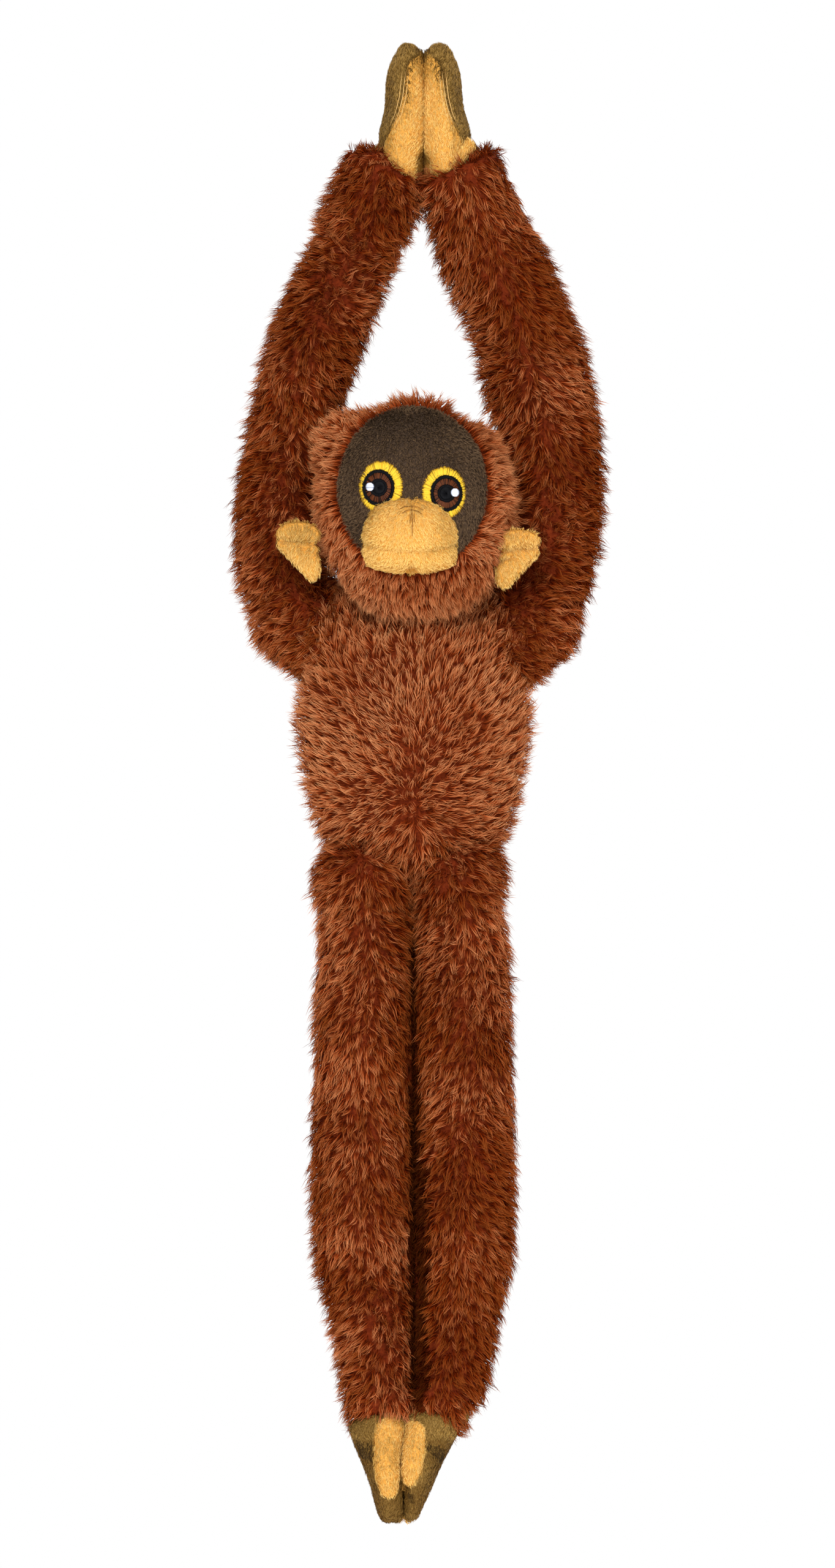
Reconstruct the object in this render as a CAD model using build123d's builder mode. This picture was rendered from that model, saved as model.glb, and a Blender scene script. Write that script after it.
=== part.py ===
from build123d import *
from math import cos, radians, sin, tan
import os

# A long-limbed plush ape that hangs by its joined hands, in millimetres.
# The origin is the top of the loop that its arms make, where it hangs from a rail. +Z is up, the face looks along
# -Y, and +X is the toy's own left. The solids are the cloth shapes without their pile, and the stuffing inside.

# --- Cloth, stuffing and clearances ---
SKIN = 1.2  # thickness of the pile fabric's backing
EASE = 0.1  # between a skin and its own stuffing
GAP = 0.3  # between pieces that move past each other
INNER = SKIN + EASE  # how far the stuffing lies inside the outer cloth shape
PATCH = 1.05  # thickness of a hook or loop tape
OVERRUN = 7.0  # how far a tube runs past a joint before it is cut there

# --- Places that lean a little as the toy hangs ---
PALM_X = 3.0  # plane between the two palms
LEG_X = -1.0  # plane between the two legs
SOLE_X = -4.5  # plane between the two soles

# --- Arms ---
ARM_RADIUS = 16.5
SHOULDER = Vector(45, 2, -152)  # for the side at +X, before the lean
UPPER_ARM_MID = Vector(51, 9, -118)
ELBOW = Vector(47.5, 9, -79)
FOREARM_MID = Vector(35, 6, -33)
WRIST = Vector(14, 0, 21)
SHOULDER_BALL = 12.5
ELBOW_BALL = 13.0
WRIST_BALL = 8.0
SHOULDER_CONE = 52  # half-angle of the cone that the upper arm starts in
ELBOW_FOLD = 66
WRIST_FOLD = 42

# --- Legs ---
LEG_RADIUS = 16.8
LEG_SPACING = 19.0  # from the plane between the legs to each leg's axis
LEG_Y = -6.0
HIP_Z = -249.0
KNEE_Z = -350.0
SHIN_SWELL_Z = -395.0
ANKLE_Z = -452.0
ANKLE_RADIUS = 12.0
ANKLE_SPACING = 13.2
HIP_BALL = 12.3
KNEE_BALL = 13.0
ANKLE_BALL = 7.5
HIP_CONE = 50
KNEE_FOLD = 92
ANKLE_FOLD = 38

# --- Head ---
HEAD = Vector(0, -18, -110)
HEAD_RADIUS = 36.0
HEAD_HALF_HEIGHT = 40.0
NECK = Vector(0, -8, -147)
NECK_BALL = 13.0
FACE_X = -1.3
FACE_Z = -102.5
FACE_HALF_WIDTH = 28.0
FACE_HALF_HEIGHT = 31.0
MUZZLE = Vector(-1.8, -42, -120)
MUZZLE_RADIUS = 19.2
MUZZLE_HALF_HEIGHT = 15.2

# --- Eyes, embroidered flat on the face ---
STITCH = 0.8  # thickness of the embroidery
EYE_SPACING = 11.9
EYE_Z = -103.2
EYE_TILT = 1.1  # the toy's right eye sits this much higher, and the left one as much lower
RING_HALF = (8.3, 10.0)
IRIS_HALF = (6.1, 6.9)
PUPIL_RADIUS = 3.1
GLINT_RADIUS = 1.6
GLINT_OFFSET = 3.4

# --- Ears ---
EAR_THICKNESS = 4.0
EAR_Y = -31.0  # front face
EAR_EDGE = [(27, 119), (42, 115.5), (51.5, 121), (38, 138)]  # from the root over the top to the tip, (x, drop)

# --- Torso: level ellipses as (height, centre x, centre y, half width, half depth) ---
TORSO = [
    (-155, 0, -4, 25, 16),
    (-163, 0, -3, 36, 21),
    (-180, 0, -2, 42.5, 25),
    (-200, 0, -2, 41.5, 27),
    (-220, 0, -2, 38.5, 24),
    (-236, 0, -2, 33.5, 18.5),
    (-246, 0, -2, 29, 15),
]
SIDE_SEAM_Y = -2  # between the front and back panels

# --- Hands and feet: (height, centre beyond the palm or sole plane, centre y, half width, half depth) ---
HAND = [
    (10, 8.6, 0, 7.2, 11),
    (21, 8.3, 0, 8.0, 13),
    (36, 7.4, 0, 8.6, 15.5),
    (50, 6.8, 0, 7.6, 14.5),
    (60, 5.8, 0, 5.8, 11),
    (66, 5.2, 0, 3.0, 5.5),
]
FOOT = [
    (-446, 10.6, -6, 11.2, 12.5),
    (-462, 9.3, -6, 9.7, 14),
    (-479, 6.4, -6, 6.9, 13.5),
    (-489, 5.4, -6, 5.1, 9.5),
    (-494, 5.2, -6, 2.8, 4.5),
]
PANEL_SEAM = 6.5  # from the palm or sole plane to the seam between a hand's or foot's two panels
TAPE = (16, 22)  # width and height of a hook or loop tape
HAND_TAPE_Z = 42
FOOT_TAPE_Z = -470
THUMB_RADIUS = 4.0
THUMB_LENGTH = 9.0
THUMB_ROOT = Vector(11, 13, 30)  # x counted from the palm plane
THUMB_HEADING = Vector(0.35, 0.5, 0.8)
TOE_RADIUS = 5.8
TOE_TOP = -457
TOE_LENGTHS = {"right": 26, "left": 21}
TOE_OUT = 6.4  # from the sole plane
TOE_FORWARD = 12  # ahead of the leg's axis

SIDES = [(-1, "right"), (1, "left")]  # the toy's own sides
PAST_FACE = HEAD_RADIUS + 10  # far enough forward to pass through the face
UP = Vector(0, 0, 1)
DOWN = Vector(0, 0, -1)
FRONT = Vector(0, -1, 0)
BACK = Vector(0, 1, 0)

os.makedirs("parts", exist_ok=True)


def save(builder, label):
    builder.part.label = label
    export_step(builder.part, f"parts/{label}.step")


def mirrored(point, side):
    return Vector(point.X * side, point.Y, point.Z)


def lean(point):
    """Shifts an arm's point sideways, from nothing at the shoulder to PALM_X at the wrist."""
    return Vector(point.X + PALM_X * (point.Z - SHOULDER.Z) / (WRIST.Z - SHOULDER.Z), point.Y, point.Z)


def parent_cuts(pivot, along, bend, fold):
    """Planes through a hinge: the piece before the hinge keeps what is below both of them."""
    half = radians(fold / 2 + 1)
    return [
        Plane(origin=pivot - along * GAP / 2, z_dir=along),
        Plane(origin=pivot, z_dir=along * cos(half) + bend * sin(half)),
    ]


def child_cuts(pivot, along, bend, fold):
    """Planes through a hinge: the piece after the hinge keeps what is above both of them."""
    half = radians(fold / 2 + 1)
    return [
        Plane(origin=pivot + along * GAP / 2, z_dir=along),
        Plane(origin=pivot, z_dir=along * cos(half) - bend * sin(half)),
    ]


def spheroid(centre, radius, half_height):
    """A solid of revolution about the vertical line through centre, from half an ellipse."""
    with BuildPart() as made:
        with BuildSketch(Plane(origin=centre, x_dir=(1, 0, 0), z_dir=(0, -1, 0))):
            with BuildLine():
                side = EllipticalCenterArc((0, 0), radius, half_height, start_angle=-90, arc_size=180)
                Line(side @ 1, side @ 0)
            make_face()
        revolve(axis=Axis(centre, (0, 0, 1)))
    return made.part


def level_loft(sections, inset=0.0):
    """A loft through level ellipses, drawn in by inset all round."""
    top = max(section[0] for section in sections)
    bottom = min(section[0] for section in sections)
    with BuildPart() as made:
        for z, x, y, half_width, half_depth in sections:
            level = min(max(z, bottom + inset), top - inset)
            with BuildSketch(Plane((x, y, level))):
                Ellipse(half_width - inset, half_depth - inset)
        loft()
    return made.part


def bowed_tube(start, middle, end, radius):
    """A round tube along the arc through three points, running on straight at both ends."""
    with BuildPart() as made:
        with BuildLine():
            path = ThreePointArc(start, middle, end)
        with BuildSketch(Plane(origin=path @ 0, z_dir=path % 0)):
            Circle(radius)
        sweep()
        for place, heading in ((path @ 1, path % 1), (path @ 0, (path % 0) * -1)):
            with BuildSketch(Plane(origin=place, z_dir=heading)):
                Circle(radius)
            extrude(amount=OVERRUN)
    return made.part


def straight_tube(stations):
    """A round tube through level circles: (height, centre x, radius)."""
    with BuildPart() as made:
        for z, x, radius in stations:
            with BuildSketch(Plane((x, LEG_Y, z))):
                Circle(radius)
        loft(ruled=True)
    return made.part


def limb_cone(apex, heading, half_angle, reach=150):
    """The cone that a limb stays inside next to its ball, so that it can swing clear of what it hangs on."""
    with BuildPart() as made:
        with Locations(Plane(origin=apex, z_dir=heading)):
            Cone(0.2, reach * tan(radians(half_angle)), reach, align=(Align.CENTER, Align.CENTER, Align.MIN))
    return made.part


def cut_back(lower, upper):
    """Trims the part being built to what is below the first planes and above the second ones."""
    for plane in lower:
        split(bisect_by=plane, keep=Keep.BOTTOM)
    for plane in upper:
        split(bisect_by=plane, keep=Keep.TOP)


def hollow(centre, radius):
    """Cuts the socket of a ball out of the part being built."""
    with Locations(centre):
        Sphere(radius + GAP, mode=Mode.SUBTRACT)


def beyond(plane_x, side, distance):
    """A plane parallel to the palms or soles, at a distance out from between them, facing outwards."""
    return Plane(origin=(plane_x + side * distance, 0, 0), z_dir=(side, 0, 0))


def place_sections(sections, plane_x, side):
    return [(z, plane_x + side * out, y, width, depth) for z, out, y, width, depth in sections]


# --- Torso ---
shoulders = [mirrored(SHOULDER, side) for side, word in SIDES]
hips = [Vector(LEG_X + side * LEG_SPACING, LEG_Y, HIP_Z) for side, word in SIDES]
sockets = [(NECK, NECK_BALL)]
sockets += [(centre, SHOULDER_BALL) for centre in shoulders]
sockets += [(centre, HIP_BALL) for centre in hips]
torso_outside = level_loft(TORSO)
torso_inside = level_loft(TORSO, SKIN)
side_seams = Plane(origin=(0, SIDE_SEAM_Y, 0), z_dir=(0, -1, 0))

for name, keep in (("torso_front_panel", Keep.TOP), ("torso_back_panel", Keep.BOTTOM)):
    with BuildPart() as torso_panel:
        add(torso_outside)
        add(torso_inside, mode=Mode.SUBTRACT)
        for centre, radius in sockets:
            hollow(centre, radius)
        split(bisect_by=side_seams, keep=keep)
    save(torso_panel, name)

with BuildPart() as torso_stuffing:
    add(level_loft(TORSO, INNER))
    for centre, radius in sockets:
        hollow(centre, radius)
save(torso_stuffing, "torso_stuffing")

# --- Neck ---
with BuildPart() as neck_stuffing:
    with Locations(NECK):
        Sphere(NECK_BALL)
save(neck_stuffing, "neck_stuffing")

# --- Head ---
head_outside = spheroid(HEAD, HEAD_RADIUS, HEAD_HALF_HEIGHT)
head_inside = spheroid(HEAD, HEAD_RADIUS - SKIN, HEAD_HALF_HEIGHT - SKIN)
front_of_head = Plane(origin=(0, HEAD.Y, 0), x_dir=(1, 0, 0), z_dir=(0, -1, 0))

with BuildPart() as face_window:
    with BuildSketch(front_of_head):
        with Locations((FACE_X, FACE_Z)):
            Ellipse(FACE_HALF_WIDTH, FACE_HALF_HEIGHT)
    extrude(amount=PAST_FACE)

with BuildPart() as face_panel:
    add(head_outside)
    add(head_inside, mode=Mode.SUBTRACT)
    add(face_window.part, mode=Mode.INTERSECT)
save(face_panel, "face_panel")

for name, keep in (("hood_right", Keep.BOTTOM), ("hood_left", Keep.TOP)):
    with BuildPart() as hood:
        add(head_outside)
        add(head_inside, mode=Mode.SUBTRACT)
        add(face_window.part, mode=Mode.SUBTRACT)
        hollow(NECK, NECK_BALL)
        split(bisect_by=Plane.YZ, keep=keep)
    save(hood, name)

with BuildPart() as head_stuffing:
    add(spheroid(HEAD, HEAD_RADIUS - INNER, HEAD_HALF_HEIGHT - INNER))
    hollow(NECK, NECK_BALL)
save(head_stuffing, "head_stuffing")

muzzle_outside = spheroid(MUZZLE, MUZZLE_RADIUS, MUZZLE_HALF_HEIGHT)
with BuildPart() as muzzle:
    add(muzzle_outside)
    add(spheroid(MUZZLE, MUZZLE_RADIUS - SKIN, MUZZLE_HALF_HEIGHT - SKIN), mode=Mode.SUBTRACT)
    add(head_outside, mode=Mode.SUBTRACT)
save(muzzle, "muzzle")

with BuildPart() as muzzle_stuffing:
    add(spheroid(MUZZLE, MUZZLE_RADIUS - INNER, MUZZLE_HALF_HEIGHT - INNER))
    add(head_outside, mode=Mode.SUBTRACT)
save(muzzle_stuffing, "muzzle_stuffing")

# --- Eyes ---
stitched_outside = spheroid(HEAD, HEAD_RADIUS + STITCH, HEAD_HALF_HEIGHT + STITCH)


def eye_outline(eye, shape, shift=0.0):
    """A patch outline on the front of the head, as an ellipse of two half sizes."""
    with BuildSketch(front_of_head) as outline:
        with Locations((eye[0] + shift, eye[1])):
            Ellipse(*shape) if shape[0] != shape[1] else Circle(shape[0])
    return outline.sketch


def embroidery(outer, inner=None):
    """A thin layer on the face, as far as outer reaches, without the part that inner covers."""
    with BuildPart() as layer:
        extrude(outer, amount=PAST_FACE)
        if inner is not None:
            extrude(inner, amount=PAST_FACE, mode=Mode.SUBTRACT)
        add(stitched_outside, mode=Mode.INTERSECT)
        add(head_outside, mode=Mode.SUBTRACT)
        add(muzzle_outside, mode=Mode.SUBTRACT)
    return layer


for side, word in SIDES:
    eye = (FACE_X + side * EYE_SPACING, EYE_Z - side * EYE_TILT)
    ring = eye_outline(eye, RING_HALF)
    iris = eye_outline(eye, IRIS_HALF)
    pupil = eye_outline(eye, (PUPIL_RADIUS, PUPIL_RADIUS))
    glint = eye_outline(eye, (GLINT_RADIUS, GLINT_RADIUS), side * GLINT_OFFSET)
    with BuildPart() as eye_iris:
        add(embroidery(iris, pupil).part)
        extrude(glint, amount=PAST_FACE, mode=Mode.SUBTRACT)
    with BuildPart() as eye_pupil:
        add(embroidery(pupil, glint).part)
    save(embroidery(ring, iris), f"eye_ring_{word}")
    save(eye_iris, f"eye_iris_{word}")
    save(eye_pupil, f"eye_pupil_{word}")
    save(embroidery(glint), f"eye_glint_{word}")

# --- Ears ---
for side, word in SIDES:
    with BuildPart() as ear:
        with BuildSketch(Plane(origin=(0, EAR_Y, 0), x_dir=(1, 0, 0), z_dir=(0, 1, 0))):
            with BuildLine():
                edge = Spline([(side * x, drop) for x, drop in EAR_EDGE])
                Line(edge @ 1, edge @ 0)
            make_face()
        extrude(amount=EAR_THICKNESS)
        add(head_outside, mode=Mode.SUBTRACT)
    save(ear, f"ear_{word}")

# --- Arms ---
for side, word in SIDES:
    shoulder = mirrored(SHOULDER, side)
    upper_mid, elbow, fore_mid, wrist = (
        lean(mirrored(point, side)) for point in (UPPER_ARM_MID, ELBOW, FOREARM_MID, WRIST)
    )
    with BuildLine() as forearm_line:
        ThreePointArc(elbow, fore_mid, wrist)
    heading = forearm_line.line % 1
    hand_along = Vector(heading.X, 0, heading.Z).normalized()
    hand_bend = Vector(side * hand_along.Z, 0, -side * hand_along.X)
    palm_limit = beyond(PALM_X, side, GAP / 2)
    upper_cone = limb_cone(shoulder, upper_mid - shoulder, SHOULDER_CONE)
    elbow_parent = parent_cuts(elbow, UP, FRONT, ELBOW_FOLD)
    elbow_child = child_cuts(elbow, UP, FRONT, ELBOW_FOLD)
    wrist_parent = parent_cuts(wrist, hand_along, hand_bend, WRIST_FOLD)
    wrist_child = child_cuts(wrist, hand_along, hand_bend, WRIST_FOLD)

    with BuildPart() as shoulder_stuffing:
        with Locations(shoulder):
            Sphere(SHOULDER_BALL)
    save(shoulder_stuffing, f"shoulder_stuffing_{word}")

    with BuildPart() as upper_arm_sleeve:
        add(bowed_tube(shoulder, upper_mid, elbow, ARM_RADIUS))
        add(bowed_tube(shoulder, upper_mid, elbow, ARM_RADIUS - SKIN), mode=Mode.SUBTRACT)
        add(upper_cone, mode=Mode.INTERSECT)
        cut_back(elbow_parent, [])
    save(upper_arm_sleeve, f"upper_arm_sleeve_{word}")

    with BuildPart() as upper_arm_stuffing:
        add(bowed_tube(shoulder, upper_mid, elbow, ARM_RADIUS - INNER))
        add(upper_cone, mode=Mode.INTERSECT)
        cut_back(elbow_parent, [])
        hollow(shoulder, SHOULDER_BALL)
        hollow(elbow, ELBOW_BALL)
    save(upper_arm_stuffing, f"upper_arm_stuffing_{word}")

    with BuildPart() as forearm_sleeve:
        add(bowed_tube(elbow, fore_mid, wrist, ARM_RADIUS))
        add(bowed_tube(elbow, fore_mid, wrist, ARM_RADIUS - SKIN), mode=Mode.SUBTRACT)
        cut_back(wrist_parent[:1], elbow_child + [palm_limit])
    save(forearm_sleeve, f"forearm_sleeve_{word}")

    with BuildPart() as forearm_stuffing:
        add(bowed_tube(elbow, fore_mid, wrist, ARM_RADIUS - INNER))
        cut_back(wrist_parent[:1], elbow_child + [palm_limit])
        with Locations(elbow):
            Sphere(ELBOW_BALL)
        hollow(wrist, WRIST_BALL)
    save(forearm_stuffing, f"forearm_stuffing_{word}")

    palm = place_sections(HAND, PALM_X, side)
    palm_face = beyond(PALM_X, side, GAP / 2 + PATCH)
    palm_lining = beyond(PALM_X, side, GAP / 2 + PATCH + INNER)
    panel_seam = beyond(PALM_X, side, PANEL_SEAM)
    with BuildPart() as hand_shape:
        add(level_loft(palm))
        cut_back([], wrist_child + [palm_face])
    with BuildPart() as hand_filling:
        add(level_loft(palm, INNER))
        cut_back([], wrist_child + [palm_lining])
    for name, lower, upper in (("hand_palm_panel", [panel_seam], []), ("hand_back_panel", [], [panel_seam])):
        with BuildPart() as hand_panel:
            add(hand_shape.part)
            add(hand_filling.part, mode=Mode.SUBTRACT)
            cut_back(lower, upper)
            with Locations(wrist):
                Sphere(WRIST_BALL, mode=Mode.SUBTRACT)
        save(hand_panel, f"{name}_{word}")

    with BuildPart() as hand_stuffing:
        add(hand_filling.part)
        with Locations(wrist):
            Sphere(WRIST_BALL)
        cut_back([], [palm_limit])
    save(hand_stuffing, f"hand_stuffing_{word}")

    with BuildPart() as hand_tape:
        with Locations((PALM_X + side * (GAP + PATCH) / 2, 0, HAND_TAPE_Z)):
            Box(PATCH, *TAPE)
    save(hand_tape, f"hand_{'hook' if side < 0 else 'loop'}_tape")

    thumb_root = Vector(PALM_X, 0, 0) + mirrored(THUMB_ROOT, side)
    with BuildPart() as thumb:
        with Locations(Plane(origin=thumb_root, z_dir=mirrored(THUMB_HEADING, side))):
            Cylinder(THUMB_RADIUS, THUMB_LENGTH)
            with Locations((0, 0, THUMB_LENGTH / 2)):
                Sphere(THUMB_RADIUS)
        add(hand_shape.part, mode=Mode.SUBTRACT)
    save(thumb, f"thumb_{word}")

# --- Legs ---
for side, word in SIDES:
    outward = Vector(side, 0, 0)
    hip = Vector(LEG_X + side * LEG_SPACING, LEG_Y, HIP_Z)
    knee = Vector(hip.X, LEG_Y, KNEE_Z)
    ankle = Vector(LEG_X + side * ANKLE_SPACING, LEG_Y, ANKLE_Z)
    thigh_cone = limb_cone(hip, DOWN, HIP_CONE)
    knee_parent = parent_cuts(knee, DOWN, BACK, KNEE_FOLD)
    knee_child = child_cuts(knee, DOWN, BACK, KNEE_FOLD)
    ankle_parent = parent_cuts(ankle, DOWN, outward, ANKLE_FOLD)
    ankle_child = child_cuts(ankle, DOWN, outward, ANKLE_FOLD)
    leg_limit = beyond(LEG_X, side, GAP / 2)

    def thigh_tube(radius):
        return straight_tube([(HIP_Z, hip.X, radius), (KNEE_Z - OVERRUN, hip.X, radius)])

    def shin_tube(inset):
        return straight_tube(
            [
                (KNEE_Z + OVERRUN, hip.X, LEG_RADIUS - inset),
                (SHIN_SWELL_Z, hip.X, LEG_RADIUS - inset),
                (ANKLE_Z - GAP / 2, ankle.X, ANKLE_RADIUS - inset),
            ]
        )

    with BuildPart() as hip_stuffing:
        with Locations(hip):
            Sphere(HIP_BALL)
    save(hip_stuffing, f"hip_stuffing_{word}")

    with BuildPart() as thigh_sleeve:
        add(thigh_tube(LEG_RADIUS))
        add(thigh_tube(LEG_RADIUS - SKIN), mode=Mode.SUBTRACT)
        add(thigh_cone, mode=Mode.INTERSECT)
        cut_back(knee_parent, [])
    save(thigh_sleeve, f"thigh_sleeve_{word}")

    with BuildPart() as thigh_stuffing:
        add(thigh_tube(LEG_RADIUS - INNER))
        add(thigh_cone, mode=Mode.INTERSECT)
        cut_back(knee_parent, [])
        hollow(hip, HIP_BALL)
        hollow(knee, KNEE_BALL)
    save(thigh_stuffing, f"thigh_stuffing_{word}")

    with BuildPart() as shin_sleeve:
        add(shin_tube(0))
        add(shin_tube(SKIN), mode=Mode.SUBTRACT)
        cut_back(ankle_parent, knee_child)
    save(shin_sleeve, f"shin_sleeve_{word}")

    with BuildPart() as shin_stuffing:
        add(shin_tube(INNER))
        cut_back(ankle_parent, knee_child)
        with Locations(knee):
            Sphere(KNEE_BALL)
        hollow(ankle, ANKLE_BALL)
    save(shin_stuffing, f"shin_stuffing_{word}")

    sole = place_sections(FOOT, SOLE_X, side)
    sole_face = beyond(SOLE_X, side, GAP / 2 + PATCH)
    sole_lining = beyond(SOLE_X, side, GAP / 2 + PATCH + INNER)
    panel_seam = beyond(SOLE_X, side, PANEL_SEAM)
    with BuildPart() as foot_shape:
        add(level_loft(sole))
        cut_back([], ankle_child + [sole_face])
    with BuildPart() as foot_filling:
        add(level_loft(sole, INNER))
        cut_back([], ankle_child + [sole_lining])
    for name, lower, upper in (("foot_sole_panel", [panel_seam], []), ("foot_upper_panel", [], [panel_seam])):
        with BuildPart() as foot_panel:
            add(foot_shape.part)
            add(foot_filling.part, mode=Mode.SUBTRACT)
            cut_back(lower, upper)
            with Locations(ankle):
                Sphere(ANKLE_BALL, mode=Mode.SUBTRACT)
        save(foot_panel, f"{name}_{word}")

    with BuildPart() as foot_stuffing:
        add(foot_filling.part)
        with Locations(ankle):
            Sphere(ANKLE_BALL)
    save(foot_stuffing, f"foot_stuffing_{word}")

    with BuildPart() as foot_tape:
        with Locations((SOLE_X + side * (GAP + PATCH) / 2, LEG_Y, FOOT_TAPE_Z)):
            Box(PATCH, *TAPE)
    save(foot_tape, f"foot_{'hook' if side < 0 else 'loop'}_tape")

    toe_length = TOE_LENGTHS[word]
    with BuildPart() as big_toe:
        with Locations((SOLE_X + side * TOE_OUT, LEG_Y - TOE_FORWARD, TOE_TOP - toe_length / 2)):
            Cylinder(TOE_RADIUS, toe_length)
            with Locations((0, 0, -toe_length / 2)):
                Sphere(TOE_RADIUS)
        add(foot_shape.part, mode=Mode.SUBTRACT)
        cut_back([], [sole_face])
    save(big_toe, f"big_toe_{word}")
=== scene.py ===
"""A plush ape with long arms, hanging by its joined hands: fur, face, hands and feet round the frame."""

import math

import bmesh
import bpy
import numpy as np
from mathutils import Matrix, Vector
from mathutils.bvhtree import BVHTree


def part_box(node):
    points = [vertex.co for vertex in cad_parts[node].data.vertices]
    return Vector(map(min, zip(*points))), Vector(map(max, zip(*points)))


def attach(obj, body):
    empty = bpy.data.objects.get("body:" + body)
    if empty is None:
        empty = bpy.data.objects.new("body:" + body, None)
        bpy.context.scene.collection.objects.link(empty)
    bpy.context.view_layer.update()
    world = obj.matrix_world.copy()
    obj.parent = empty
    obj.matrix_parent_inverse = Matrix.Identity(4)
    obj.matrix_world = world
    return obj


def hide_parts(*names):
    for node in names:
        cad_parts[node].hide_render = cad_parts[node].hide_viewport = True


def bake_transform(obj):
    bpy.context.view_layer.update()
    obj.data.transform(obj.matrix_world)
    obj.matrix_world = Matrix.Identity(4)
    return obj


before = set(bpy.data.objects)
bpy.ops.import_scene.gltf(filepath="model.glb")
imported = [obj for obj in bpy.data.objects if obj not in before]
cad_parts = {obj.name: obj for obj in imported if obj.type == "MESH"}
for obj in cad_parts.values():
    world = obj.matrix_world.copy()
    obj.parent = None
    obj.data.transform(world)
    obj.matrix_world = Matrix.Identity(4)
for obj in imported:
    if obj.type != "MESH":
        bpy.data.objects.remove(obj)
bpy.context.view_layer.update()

MM = 0.001
SIDES = {"right": -1.0, "left": 1.0}
# The map that holds each fibre's tone across and its height from root to tip upward.
FIBRE_MAP = "OFBake"
# Fibres in one piece at most, so that its mesh stays a reasonable size.
MOST_FIBRES = 39000


# ---------------------------------------------------------------- numbers and fields


def unit(v):
    """The vectors in the last axis of v, one unit long."""
    return v / np.maximum(np.linalg.norm(v, axis=-1, keepdims=True), 1e-12)


def ripple(points, size, seed):
    """A smooth random field from about -1 to 1, in lumps of that size in metres."""
    rng = np.random.default_rng(seed)
    total = np.zeros(len(points))
    waves = 9
    for _ in range(waves):
        heading = unit(rng.normal(size=3)) / size * rng.uniform(0.6, 1.5) * 2.2
        total += np.sin(points @ heading + rng.uniform(0, 2 * math.pi))
    return total / math.sqrt(waves / 2) * 0.6


def drift(points, size, seed):
    """A smooth random field of vectors, in lumps of that size in metres."""
    return np.stack([ripple(points, size, seed + axis) for axis in range(3)], 1)


def ramp(value, low, high):
    """0 below low, 1 above high, smooth between."""
    t = np.clip((value - low) / (high - low), 0, 1)
    return t * t * (3 - 2 * t)


# ---------------------------------------------------------------- materials


def new_material(name):
    """A node material, its tree and its main shader."""
    material = bpy.data.materials.new(name)
    material.use_nodes = True
    return material, material.node_tree, material.node_tree.nodes["Principled BSDF"]


def linear(rgb):
    """A colour in sRGB numbers from 0 to 255, as linear light with alpha."""
    c = np.array(rgb, float) / 255
    c = np.where(c <= 0.04045, c / 12.92, ((c + 0.055) / 1.055) ** 2.4)
    return (*c.tolist(), 1.0)


def colour_ramp(tree, stops):
    node = tree.nodes.new("ShaderNodeValToRGB")
    elements = node.color_ramp.elements
    while len(elements) < len(stops):
        elements.new(0.5)
    for element, (place, colour) in zip(elements, stops):
        element.position = place
        element.color = colour
    return node


# A fibre's tone across its map: in a crease with painted shade, in the darkest lock, and in an even one.
IN_CREASE, DARK_LOCK, EVEN_LOCK = 0.02, 0.1, 0.5
# The painted shade of a crease: its darkest colour, as a share of the darkest lock's.
PAINTED_CREASE_SHADE = 0.12


def pile_material(name, root, body, tip, shade, light, roughness=0.7, sheen=0.02, gloss=0.1):
    """Fibres that go from a dark root to a light tip.

    root, body and tip are sRGB colours. shade and light are what the darkest and lightest locks
    multiply them by, and a crease is darker still, with painted shade.
    """
    material, tree, shader = new_material(name)
    fibre = tree.nodes.new("ShaderNodeUVMap")
    fibre.uv_map = FIBRE_MAP
    split = tree.nodes.new("ShaderNodeSeparateXYZ")
    along = colour_ramp(tree, [(0.0, linear(root)), (0.45, linear(body)), (1.0, linear(tip))])
    crease = [PAINTED_CREASE_SHADE * c for c in shade]
    stops = [(0.0, crease), (DARK_LOCK, shade), (EVEN_LOCK, (1, 1, 1)), (1.0, light)]
    tone = colour_ramp(tree, [(place, (*colour, 1)) for place, colour in stops])
    mix = tree.nodes.new("ShaderNodeMix")
    mix.data_type = "RGBA"
    mix.blend_type = "MULTIPLY"
    mix.inputs["Factor"].default_value = 1.0
    tree.links.new(fibre.outputs["UV"], split.inputs[0])
    tree.links.new(split.outputs["Y"], along.inputs[0])
    tree.links.new(split.outputs["X"], tone.inputs[0])
    tree.links.new(along.outputs["Color"], mix.inputs["A"])
    tree.links.new(tone.outputs["Color"], mix.inputs["B"])
    tree.links.new(mix.outputs["Result"], shader.inputs["Base Color"])
    shader.inputs["Roughness"].default_value = roughness
    shader.inputs["Specular IOR Level"].default_value = gloss
    shader.inputs["Sheen Weight"].default_value = sheen
    shader.inputs["Sheen Roughness"].default_value = 0.5
    shader.inputs["Sheen Tint"].default_value = linear(tip)
    return material


def knit_material(name, dark, light, scale, bump=0.35, roughness=0.85):
    """The knitted backing that short pile stands on: fine mottled colour with a fine bump."""
    material, tree, shader = new_material(name)
    where = tree.nodes.new("ShaderNodeTexCoord")
    grain = tree.nodes.new("ShaderNodeTexNoise")
    grain.inputs["Scale"].default_value = scale
    grain.inputs["Detail"].default_value = 4.0
    colours = colour_ramp(tree, [(0.35, linear(dark)), (0.65, linear(light))])
    relief = tree.nodes.new("ShaderNodeBump")
    relief.inputs["Strength"].default_value = bump
    relief.inputs["Distance"].default_value = 0.0004
    tree.links.new(where.outputs["Object"], grain.inputs["Vector"])
    tree.links.new(grain.outputs["Fac"], colours.inputs[0])
    tree.links.new(grain.outputs["Fac"], relief.inputs["Height"])
    tree.links.new(colours.outputs["Color"], shader.inputs["Base Color"])
    tree.links.new(relief.outputs["Normal"], shader.inputs["Normal"])
    shader.inputs["Roughness"].default_value = roughness
    shader.inputs["Specular IOR Level"].default_value = 0.05
    return material


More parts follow.
